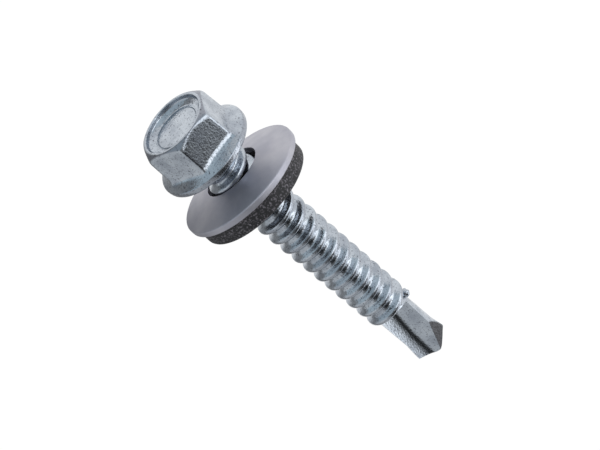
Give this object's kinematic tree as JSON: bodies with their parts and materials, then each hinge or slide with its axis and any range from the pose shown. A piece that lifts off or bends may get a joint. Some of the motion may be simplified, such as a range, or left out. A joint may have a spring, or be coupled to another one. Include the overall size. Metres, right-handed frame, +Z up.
{
  "type": "metal roofing screw",
  "caption": "Self-drilling roofing screw with hexagon flange head, coarse thread, fluted point and a loose bonded sealing washer.",
  "frame": {"origin": "middle of the bounding box, on the surface the screw lies on", "axes": "+X along the length from the head towards the drill point, +Z up"},
  "size_m": [0.0434, 0.014, 0.0139],
  "materials": {
    "plated_steel": "bright blue-white zinc plating",
    "washer_steel": "satin plated sheet steel",
    "seal_rubber": "matt vulcanised rubber"
  },
  "bodies": {
    "screw": {"screw": "plated_steel"},
    "washer": {"metal_washer": "washer_steel", "rubber_seal": "seal_rubber"}
  },
  "joints": [
    {"name": "washer_slide", "type": "slide", "parent": "screw", "child": "washer", "axis": [0.9831, 0, -0.1829], "range_m": [-0.003, 0.022]}
  ]
}
